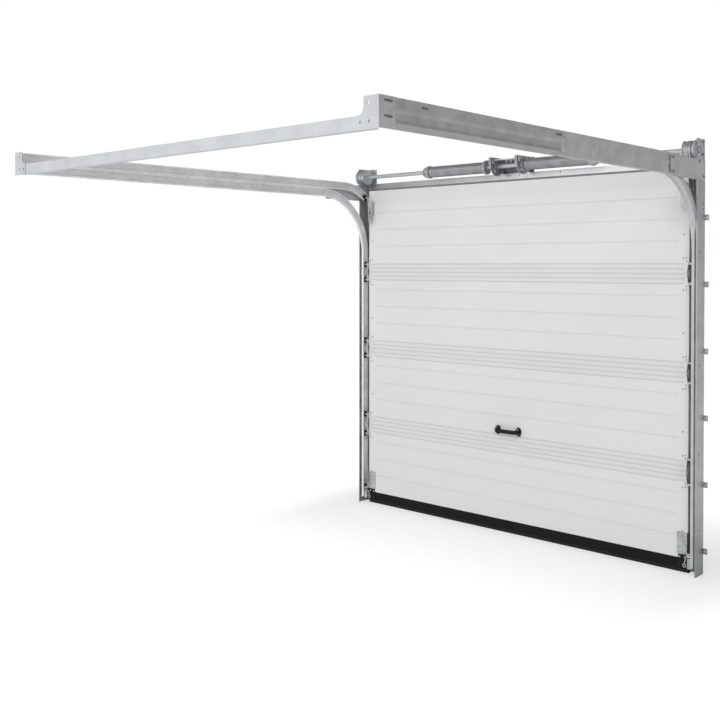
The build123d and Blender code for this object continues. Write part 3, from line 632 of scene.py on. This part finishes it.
# Hexagon bolts: width across the flats, head height and washer radius
SLIDE_BOLT = (10.0, 4.5, 7.0)
BEARING_BOLT = (10.0, 2.4, 0.1)
WALL_BOLT = (10.0, 5.0, 8.5)
PLATE_BOLT = (10.0, 5.0, 8.0)
PAWL_BOLT = (9.0, 5.0, 7.0)


def make_bracket_screws():
    mesh = bmesh.new()
    for _, sign in SIDES:
        for inset in BOTTOM_BRACKET_INSETS:
            for height in BOTTOM_BRACKET_HEIGHTS:
                place = spot(sign * (LEAF_EDGE - inset), BRACKET_FACE, height)
                pan_head(mesh, place, ROOM, BOTTOM_BRACKET_RADIUS)
        for inset in TOP_BRACKET_INSETS:
            for height in TOP_BRACKET_HEIGHTS:
                place = spot(sign * (LEAF_EDGE - inset), BRACKET_FACE, height)
                pan_head(mesh, place, ROOM, TOP_BRACKET_RADIUS)
        for height in SLIDE_HEIGHTS:
            place = spot(sign * (LEAF_EDGE - SLIDE_INSET), SLIDE_FACE, height)
            hex_bolt(mesh, place, ROOM, *SLIDE_BOLT)
    piece = finish_piece("bracket_screws", mesh, "bright_screws")


# Screws of the corner caps and of the handle's feet: radius and height of the heads
CORNER_SCREW_INSETS = (14, 44)
CORNER_SCREW_HEIGHT = 84
CORNER_FACE = CAP_FACE - 3
CORNER_SCREW = (4.6, 3.0)
HANDLE_X = 5.5
HANDLE_HEIGHT = 622
HANDLE_FACE = LEAF_FACE - 11.5
HANDLE_SCREW_X = 74
HANDLE_SCREW_RISE = 15
HANDLE_SCREW = (3.6, 2.6)


def make_corner_screws():
    mesh = bmesh.new()
    for _, sign in SIDES:
        for inset in CORNER_SCREW_INSETS:
            place = spot(sign * (LEAF_EDGE - inset), CORNER_FACE, CORNER_SCREW_HEIGHT)
            pan_head(mesh, place, ROOM, *CORNER_SCREW)
    for x in (HANDLE_X - HANDLE_SCREW_X, HANDLE_X + HANDLE_SCREW_X):
        for height in (HANDLE_HEIGHT - HANDLE_SCREW_RISE, HANDLE_HEIGHT + HANDLE_SCREW_RISE):
            pan_head(mesh, spot(x, HANDLE_FACE, height), ROOM, *HANDLE_SCREW)
    piece = finish_piece("corner_screws", mesh, "bright_screws")


# Fasteners on the outer faces of the frame, at places (y, height): gussets, bearing plates,
# and the track bolts and angle bolts of the jambs. Coach heads have a radius and a height
GUSSET_FACE = JAMB_FACE + 2.8
GUSSET_BOLT_PLACES = ((-78, 2157), (-25, 2081), (-382, 2155), (-381, 2082))
GUSSET_BOLT = (9.0, 4.0)
BEARING_FACE = JAMB_FACE - 2.2
BEARING_BOLT_PLACES = ((-26, 2262), (-26, 2196))
TRACK_BOLT_PLACES = ((-20, 1941), (-20, 1912))
TRACK_BOLT = (5.5, 2.2)
ANGLE_BOLT_Y = -60
ANGLE_BOLT_HEIGHTS = (1691, 1100, 640, 240)
ANGLE_BOLT = (5.0, 2.0)


def make_frame_bolts():
    mesh = bmesh.new()
    for _, sign in SIDES:
        out = RIGHT * sign
        for y, height in GUSSET_BOLT_PLACES:
            coach_head(mesh, spot(sign * GUSSET_FACE, y, height), out, *GUSSET_BOLT)
        for y, height in BEARING_BOLT_PLACES:
            hex_bolt(mesh, spot(sign * BEARING_FACE, y, height), out, *BEARING_BOLT)
        for y, height in TRACK_BOLT_PLACES:
            coach_head(mesh, spot(sign * JAMB_FACE, y, height), out, *TRACK_BOLT)
        for height in ANGLE_BOLT_HEIGHTS:
            coach_head(mesh, spot(sign * JAMB_FACE, ANGLE_BOLT_Y, height), out, *ANGLE_BOLT)
    piece = finish_piece("frame_bolts", mesh, "dark_screws_and_shade")


# Screws into the wall: through the jambs' lugs, the bearing plates and the centre bracket
LUG_COUNT = 6
LUG_FIRST = 120
LUG_PITCH = 350
LUG_X = JAMB_FACE + 11
LUG_FACE = -2
PLATE_FACE = -3
BEARING_SCREW_X = (1122, 1150)
BEARING_SCREW_HEIGHTS = (2188, 2240, 2264)
CENTRE_SCREW_X = (-75, 145)
CENTRE_SCREW_HEIGHTS = (2196, 2250)


def make_wall_screws():
    mesh = bmesh.new()
    for _, sign in SIDES:
        for count in range(LUG_COUNT):
            place = spot(sign * LUG_X, LUG_FACE, LUG_FIRST + LUG_PITCH * count)
            hex_bolt(mesh, place, ROOM, *WALL_BOLT)
        for x in BEARING_SCREW_X:
            for height in BEARING_SCREW_HEIGHTS:
                hex_bolt(mesh, spot(sign * x, PLATE_FACE, height), ROOM, *PLATE_BOLT)
    for x in CENTRE_SCREW_X:
        for height in CENTRE_SCREW_HEIGHTS:
            hex_bolt(mesh, spot(x, PLATE_FACE, height), ROOM, *WALL_BOLT)
    piece = finish_piece("wall_screws", mesh, "bright_screws")


# Header: its screws, the line where its two lengths meet, and a dark strip of painted shade along its lower
# edge, where the gap above the leaf lies in shade
HEADER_FACE = -24
HEADER_SKIN = -23.9
HEADER_SCREW_X = (-10, 58, 340)
HEADER_SCREW_HEIGHT = 2163
HEADER_SCREW = (4.2, 2.0)
HEADER_LINE = (109.2, 110.4)
HEADER_LINE_FACE = -24.5
HEADER_LINE_HEIGHTS = (2135.5, 2174.5)
HEADER_EDGE_FACE = -24.8
HEADER_EDGE_HEIGHTS = (2126, 2140)


def make_header_marks():
    mesh = bmesh.new()
    for x in HEADER_SCREW_X:
        pan_head(mesh, spot(x, HEADER_FACE, HEADER_SCREW_HEIGHT), ROOM, *HEADER_SCREW)
    low = spot(HEADER_LINE[0], HEADER_LINE_FACE, HEADER_LINE_HEIGHTS[0])
    high = spot(HEADER_LINE[1], HEADER_SKIN, HEADER_LINE_HEIGHTS[1])
    slab(mesh, low, high)
    piece = finish_piece("header_marks", mesh, "dark_screws_and_shade")
    # painted shade: a dark strip for the shaded gap under the header
    strip = bmesh.new()
    low = spot(-LEAF_EDGE, HEADER_EDGE_FACE, HEADER_EDGE_HEIGHTS[0])
    high = spot(LEAF_EDGE, HEADER_SKIN, HEADER_EDGE_HEIGHTS[1])
    slab(strip, low, high)
    piece = finish_piece("header_edge", strip, "painted_shade_edge")


# Gusset plates with their straight lower edge and two open slots toward the rails
GUSSET_SHEET = 2.5
GUSSET_FRONT = -10.0
GUSSET_REAR = -411.0
GUSSET_PEAK_Y = -216.0
GUSSET_TOP = RAIL_TOP - 10.0
GUSSET_LOW = RAIL_LOW - 12.0
GUSSET_BOW = 5.0
GUSSET_SLOTS = (RAIL_TOP - 21.0, GUSSET_LOW + 21.0)
SLOT_HALF = 4.5
SLOT_DEPTH = 22.0
GUSSET_NUT = 8


def make_gussets():
    outline = [(GUSSET_FRONT, GUSSET_LOW), (GUSSET_FRONT, GUSSET_TOP - GUSSET_BOW)]
    outline += [(GUSSET_PEAK_Y, GUSSET_TOP + GUSSET_BOW), (GUSSET_REAR, GUSSET_TOP)]
    for middle in GUSSET_SLOTS:
        outline.append((GUSSET_REAR, middle + SLOT_HALF))
        outline.append((GUSSET_REAR + SLOT_DEPTH, middle + SLOT_HALF))
        outline.append((GUSSET_REAR + SLOT_DEPTH, middle - SLOT_HALF))
        outline.append((GUSSET_REAR, middle - SLOT_HALF))
    outline.append((GUSSET_REAR, GUSSET_LOW))
    for side, sign in SIDES:
        low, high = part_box(f"gusset_plate_{side}")
        outer = (high.x if sign > 0 else low.x) * 1000
        inner = outer - sign * GUSSET_SHEET
        mesh = bmesh.new()
        flat_plate(mesh, outer, inner, outline)
        for middle in GUSSET_SLOTS:
            place = spot(inner, GUSSET_REAR + SLOT_DEPTH + GUSSET_NUT, middle)
            turned(mesh, place, RIGHT * -sign, [(0, GUSSET_NUT), (GUSSET_NUT, GUSSET_NUT)], 20)
        piece = finish_piece(f"gusset_sheet_{side}", mesh, "galvanised")
        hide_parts(f"gusset_plate_{side}")


# Joint covers between the gussets and the rails, the small tab on each, and the clips of the splices
COVER_INNER = JAMB_FACE - 7.8
COVER_OUTER = COVER_INNER + 2.4
COVER_REACH = (-466, -408)
COVER_INSET = 2
TAB_OUTER = COVER_INNER + 6
TAB_REACH = (-437, -413)
TAB_HEIGHTS = (2117, 2135)
CLIP_X = (COVER_INNER + 8.5, COVER_INNER + 13)
CLIP_REACH = (-1442, -1420)
CLIP_HEIGHTS = (2167, 2175)


def side_block(mesh, sign, across, reach, heights):
    """Add a bevelled block on one side of the door, from its ranges along X, Y and upward."""
    first = spot(sign * across[0], reach[0], heights[0])
    block(mesh, first, spot(sign * across[1], reach[1], heights[1]))


def make_rail_joints():
    mesh = bmesh.new()
    cover_heights = (RAIL_LOW + COVER_INSET, RAIL_TOP - COVER_INSET)
    for _, sign in SIDES:
        side_block(mesh, sign, (COVER_INNER, COVER_OUTER), COVER_REACH, cover_heights)
        side_block(mesh, sign, (COVER_OUTER, TAB_OUTER), TAB_REACH, TAB_HEIGHTS)
        side_block(mesh, sign, CLIP_X, CLIP_REACH, CLIP_HEIGHTS)
    piece = finish_piece("rail_joints", mesh, "galvanised")


# Painted shade: dark blocks in the slots in the outer faces of the rear plates and rails, where the slots'
# insides lie in shade
FLANGE_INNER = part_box("rear_plate_right")[1].x * 1000 - 0.6
FLANGE_SLOT_X = (FLANGE_INNER - 3, FLANGE_INNER - 0.9)
FLANGE_SLOT_REACH = (-2547, -2507)
FLANGE_SLOT_DROPS = (16, 67.5)
FLANGE_SLOT_HALF = 4.2
REAR_SLOT_X = (1196, 1198.9)
REAR_SLOT_REACH = (-2350, -2314)
REAR_SLOT_HEIGHTS = (2152, 2162)
SPLICE_SLOT_X = (1190.3, 1193.4)
SPLICE_SLOT_REACH = (-1468, -1424)
SPLICE_SLOT_HEIGHTS = (2153, 2162)


def make_painted_slot_shade():
    mesh = bmesh.new()
    for _, sign in SIDES:
        for drop in FLANGE_SLOT_DROPS:
            middle = RAIL_TOP - drop
            heights = (middle - FLANGE_SLOT_HALF, middle + FLANGE_SLOT_HALF)
            side_block(mesh, sign, FLANGE_SLOT_X, FLANGE_SLOT_REACH, heights)
        side_block(mesh, sign, REAR_SLOT_X, REAR_SLOT_REACH, REAR_SLOT_HEIGHTS)
        side_block(mesh, sign, SPLICE_SLOT_X, SPLICE_SLOT_REACH, SPLICE_SLOT_HEIGHTS)
    piece = finish_piece("painted_slot_shade", mesh, "dark_screws_and_shade")


# Centre bracket: a wall plate and two round-bottomed cheeks with bent rims, the shaft bare between
CHEEK_X = (-63, 122)
CHEEK_SHEET = 5
CHEEK_MIDDLE_Y = -88.0
CHEEK_REACH = 64.0
CHEEK_DROP = 57.0
CHEEK_TOP = 2267.0
CHEEK_FOOT = 2175.5
CHEEK_STEPS = 20
HEADER_CLEAR = -24.5
RIM_WIDTH = 12
RIM_REACH = (-152, -149)
COLLAR_PROFILE = ((0, 24), (11, 24))
COLLAR_LEAD = 3
CENTRE_PLATE = (-85, 149)
CENTRE_SHEET = 3


def cheek_outline():
    """Places (y, height) round a cheek, which stays clear of the header below it."""
    outline = [(0, CHEEK_FOOT), (0, CHEEK_TOP), (CHEEK_MIDDLE_Y - CHEEK_REACH, CHEEK_TOP)]
    for step in range(CHEEK_STEPS):
        turn = pi * step / CHEEK_STEPS
        y = CHEEK_MIDDLE_Y - CHEEK_REACH * cos(turn)
        height = SHAFT_HEIGHT - CHEEK_DROP * sin(turn)
        if height < CHEEK_FOOT:
            y = min(y, HEADER_CLEAR)
        outline.append((y, height))
    outline.append((HEADER_CLEAR, CHEEK_FOOT))
    return outline


def make_centre_bracket():
    mesh = bmesh.new()
    outline = cheek_outline()
    for x in CHEEK_X:
        flat_plate(mesh, x, x + CHEEK_SHEET, outline)
        block(mesh, spot(x - RIM_WIDTH, RIM_REACH[0], SHAFT_HEIGHT), spot(x, RIM_REACH[1], CHEEK_TOP))
        turned(mesh, spot(x - COLLAR_LEAD, SHAFT_Y, SHAFT_HEIGHT), RIGHT, COLLAR_PROFILE, 32)
    low = spot(CENTRE_PLATE[0], -CENTRE_SHEET, CHEEK_FOOT)
    block(mesh, low, spot(CENTRE_PLATE[1], 0, CHEEK_TOP))
    piece = finish_piece("centre_plates", mesh, "dark_zinc")
    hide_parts("centre_bracket")


# Fittings of the centre bracket: the pawls' cross pin, their springs and bolts
PIN_START = -84
PIN_PLACE = (-134, 2250)
PIN_PROFILE = ((0, 3), (2, 4), (228, 4), (230, 3))
PAWL_SPRING_X = (-70, 115)
PAWL_SPRING_LINE = ((0, -150, 2258), (4, -138, 2224), (12, -112, 2182))
PAWL_SPRING_RADIUS = 3.0
PAWL_BOLT_X = (-57, 128)
PAWL_BOLT_PLACES = ((-122, 2235), (-100, 2256), (-112, 2184))

# Castings of the centre bracket: a box with four studs at the wall, and three pawls across X
BOX_LOW = (-22, -60, 2226)
BOX_HIGH = (118, -4, 2262)
STUD_X = (0, 32, 64, 92)
STUD_PLACE = (-62, 2244)
STUD_PROFILE = ((0, 11), (9, 11), (11, 9))
PAWLS = ((-57, -46), (104, 121), (128, 143))
PAWL_HEAD = ((-146, -108), (2226, 2260))
PAWL_TAIL = ((-126, -112), (2196, 2232))


def make_centre_fittings():
    bright = bmesh.new()
    turned(bright, spot(PIN_START, *PIN_PLACE), RIGHT, PIN_PROFILE, 14)
    for x in PAWL_SPRING_X:
        places = [spot(x + shift, y, height) for shift, y, height in PAWL_SPRING_LINE]
        tube(bright, places, PAWL_SPRING_RADIUS)
    for x in PAWL_BOLT_X:
        for y, height in PAWL_BOLT_PLACES:
            hex_bolt(bright, spot(x, y, height), RIGHT, *PAWL_BOLT)
    piece = finish_piece("centre_pins", bright, "bright_screws")
    dark = bmesh.new()
    block(dark, spot(*BOX_LOW), spot(*BOX_HIGH))
    for across in PAWLS:
        side_block(dark, 1, across, *PAWL_HEAD)
        side_block(dark, 1, across, *PAWL_TAIL)
    for x in STUD_X:
        turned(dark, spot(x, *STUD_PLACE), ROOM, STUD_PROFILE, 20)
    piece = finish_piece("centre_castings", dark, "dark_zinc")


# Foot fittings: the cable's pin, thimble ring and short link, the bracket's wider sheet and
# the roller's carrier
FOOT_PIN_PLACE = (1136, -86, 101)
FOOT_PIN_PROFILE = ((0, 3), (1, 4.5), (24, 4.5), (26, 3))
THIMBLE_PLACE = (1117, -66, 44)
THIMBLE_RING = 8.0
THIMBLE_WIRE = 1.9
LINK_LINE = ((1124, -66, 84), (1120, -66, 70), (1118, -66, 52))
LINK_WIRE = 2.2
SHEET_X = (LEAF_EDGE - 59, LEAF_EDGE - 46.5)
SHEET_REACH = (-55.4, -53.3)
SHEET_HEIGHTS = (98.5, 216)
CARRIER_X = (1134, 1156)
CARRIER_REACH = (-72, -69)
CARRIER_HEIGHTS = (30, 86)


def on_side(sign, place):
    """A place (x, y, height) of the right side, on either side of the door."""
    x, y, height = place
    return spot(sign * x, y, height)


def make_foot_fittings():
    bright = bmesh.new()
    sheet = bmesh.new()
    for _, sign in SIDES:
        turned(bright, on_side(sign, FOOT_PIN_PLACE), RIGHT * sign, FOOT_PIN_PROFILE, 14)
        ring = ring_points(on_side(sign, THIMBLE_PLACE), THIMBLE_RING)
        tube(bright, ring, THIMBLE_WIRE, closed=True)
        tube(bright, [on_side(sign, place) for place in LINK_LINE], LINK_WIRE)
        side_block(sheet, sign, SHEET_X, SHEET_REACH, SHEET_HEIGHTS)
        side_block(sheet, sign, CARRIER_X, CARRIER_REACH, CARRIER_HEIGHTS)
    piece = finish_piece("foot_pins", bright, "bright_screws")
    piece = finish_piece("foot_sheets", sheet, "spangled_zinc")


# Shaft bearings: dark rings round the shaft on the outer faces of both bearing plates
RING_FACE = JAMB_FACE - 2.25
RING_PROFILE = ((0, 19), (1.2, 19), (1.7, 18), (1.7, 14.5), (0.4, 14.0))


def make_bearings():
    mesh = bmesh.new()
    for _, sign in SIDES:
        place = spot(sign * RING_FACE, SHAFT_Y, SHAFT_HEIGHT)
        turned(mesh, place, RIGHT * sign, RING_PROFILE, 28)
    piece = finish_piece("shaft_bearings", mesh, "dark_screws_and_shade")


# Light: a soft sky and three large lamps on the room's side, in metres and watts
WORLD_LIGHT = 0.7
LAMP_TARGET = (0, 0, -1)
KEY_PLACE = (1.6, -8.0, 3.2)
KEY_SIZE = 4.0
KEY_POWER = 170
FILL_PLACE = (14.0, -8.0, 1.0)
FILL_SIZE = 8.0
FILL_POWER = 620
LEFT_PLACE = (-4.5, -7.0, 1.5)
LEFT_SIZE = 6.0
LEFT_POWER = 140

# The floor glows for the camera, less near the door, where it keeps the shadow and is painted a little
# darker as a soft shade
FLOOR_TONE = (0.92, 0.92, 0.92, 1)
FLOOR_SIZE = 80
FLOOR_GAP = 0.0005
FLOOR_GLOW = 1.2
FLOOR_GLOW_NEAR = 0.45
FLOOR_GLOW_FAR = 0.82
FLOOR_FADE = 1.7
FLOOR_EDGE = 1.2
FLOOR_SIDE_FADE = 3.0

# The sky's tone by how far a direction points up: at both ends, and (share, tone) between
SKY_LOW = (1, 1, 1, 1)
SKY_HIGH = (0.60, 0.61, 0.62, 1)
SKY_HIGH_SHARE = 0.6
SKY_BANDS = ((0.08, 0.9), (0.16, 0.28), (0.32, 0.4))


def make_floor():
    """A pale floor that keeps the shadow, with painted shade near the door."""
    made = Nodes("floor_white")
    made.set(Roughness=0.6)
    made.shader.inputs["Base Color"].default_value = FLOOR_TONE
    rays = made.add("ShaderNodeLightPath")
    seen = made.math("MAXIMUM", rays.outputs["Is Camera Ray"], rays.outputs["Is Glossy Ray"])
    glow = made.add("ShaderNodeEmission")
    glow.inputs["Strength"].default_value = FLOOR_GLOW
    mix = made.add("ShaderNodeMixShader")
    beside = made.math("SUBTRACT", made.math("ABSOLUTE", made.axis("X")), FLOOR_EDGE)
    beside = made.math("MULTIPLY", made.math("MAXIMUM", beside, 0.0), FLOOR_SIDE_FADE)
    squares = made.math("ADD", made.math("POWER", beside, 2.0), made.math("POWER", made.axis("Y"), 2.0))
    share = made.add("ShaderNodeMapRange", interpolation_type="SMOOTHSTEP")
    share.inputs["From Max"].default_value = FLOOR_FADE
    share.inputs["To Min"].default_value = FLOOR_GLOW_NEAR
    share.inputs["To Max"].default_value = FLOOR_GLOW_FAR
    made.link(made.math("SQRT", squares), share.inputs["Value"])
    made.link(made.math("MULTIPLY", seen, share.outputs["Result"]), mix.inputs["Fac"])
    made.link(made.shader.outputs[0], mix.inputs[1])
    made.link(glow.outputs[0], mix.inputs[2])
    made.link(mix.outputs[0], made.tree.nodes["Material Output"].inputs["Surface"])
    bpy.ops.mesh.primitive_plane_add(size=FLOOR_SIZE, location=(0, 0, FLOOR_Z - FLOOR_GAP))
    floor = bpy.context.object
    floor.name = "floor"
    floor.data.materials.append(made.material)


def make_sky():
    """White behind the door for the camera, and a banded sky for the light and reflections."""
    world = bpy.data.worlds.new("room")
    bpy.context.scene.world = world
    world.use_nodes = True
    nodes = world.node_tree.nodes
    links = world.node_tree.links
    light = nodes["Background"]
    light.inputs["Strength"].default_value = WORLD_LIGHT
    place = nodes.new("ShaderNodeTexCoord")
    split = nodes.new("ShaderNodeSeparateXYZ")
    sky = nodes.new("ShaderNodeValToRGB")
    first, last = sky.color_ramp.elements
    first.position = 0.0
    first.color = SKY_LOW
    last.position = SKY_HIGH_SHARE
    last.color = SKY_HIGH
    for position, tone in SKY_BANDS:
        band = sky.color_ramp.elements.new(position)
        band.color = (tone, tone, tone, 1)
    links.new(place.outputs["Generated"], split.inputs[0])
    links.new(split.outputs["Z"], sky.inputs["Fac"])
    links.new(sky.outputs["Color"], light.inputs["Color"])
    white = nodes.new("ShaderNodeBackground")
    white.inputs["Color"].default_value = (1, 1, 1, 1)
    white.inputs["Strength"].default_value = 1.0
    rays = nodes.new("ShaderNodeLightPath")
    mix = nodes.new("ShaderNodeMixShader")
    links.new(rays.outputs["Is Camera Ray"], mix.inputs["Fac"])
    links.new(light.outputs[0], mix.inputs[1])
    links.new(white.outputs[0], mix.inputs[2])
    links.new(mix.outputs[0], nodes["World Output"].inputs["Surface"])


def make_lamp(name, place, size, power):
    """A square lamp that points at the middle of the door."""
    data = bpy.data.lights.new(name, "AREA")
    data.size = size
    data.energy = power
    lamp = bpy.data.objects.new(name, data)
    lamp.location = place
    lamp.rotation_euler = (Vector(LAMP_TARGET) - Vector(place)).to_track_quat("-Z", "Y").to_euler()
    bpy.context.scene.collection.objects.link(lamp)


bpy.context.scene.view_settings.view_transform = "Standard"
make_camera()
make_floor()
make_sky()
make_lamp("key", KEY_PLACE, KEY_SIZE, KEY_POWER)
make_lamp("fill", FILL_PLACE, FILL_SIZE, FILL_POWER)
make_lamp("left", LEFT_PLACE, LEFT_SIZE, LEFT_POWER)
dress_nodes()
make_springs()
make_cone_knurls()
make_leaf_screws()
make_bracket_screws()
make_corner_screws()
make_frame_bolts()
make_wall_screws()
make_header_marks()
make_bearings()
make_gussets()
make_rail_joints()
make_painted_slot_shade()
make_centre_bracket()
make_centre_fittings()
make_foot_fittings()
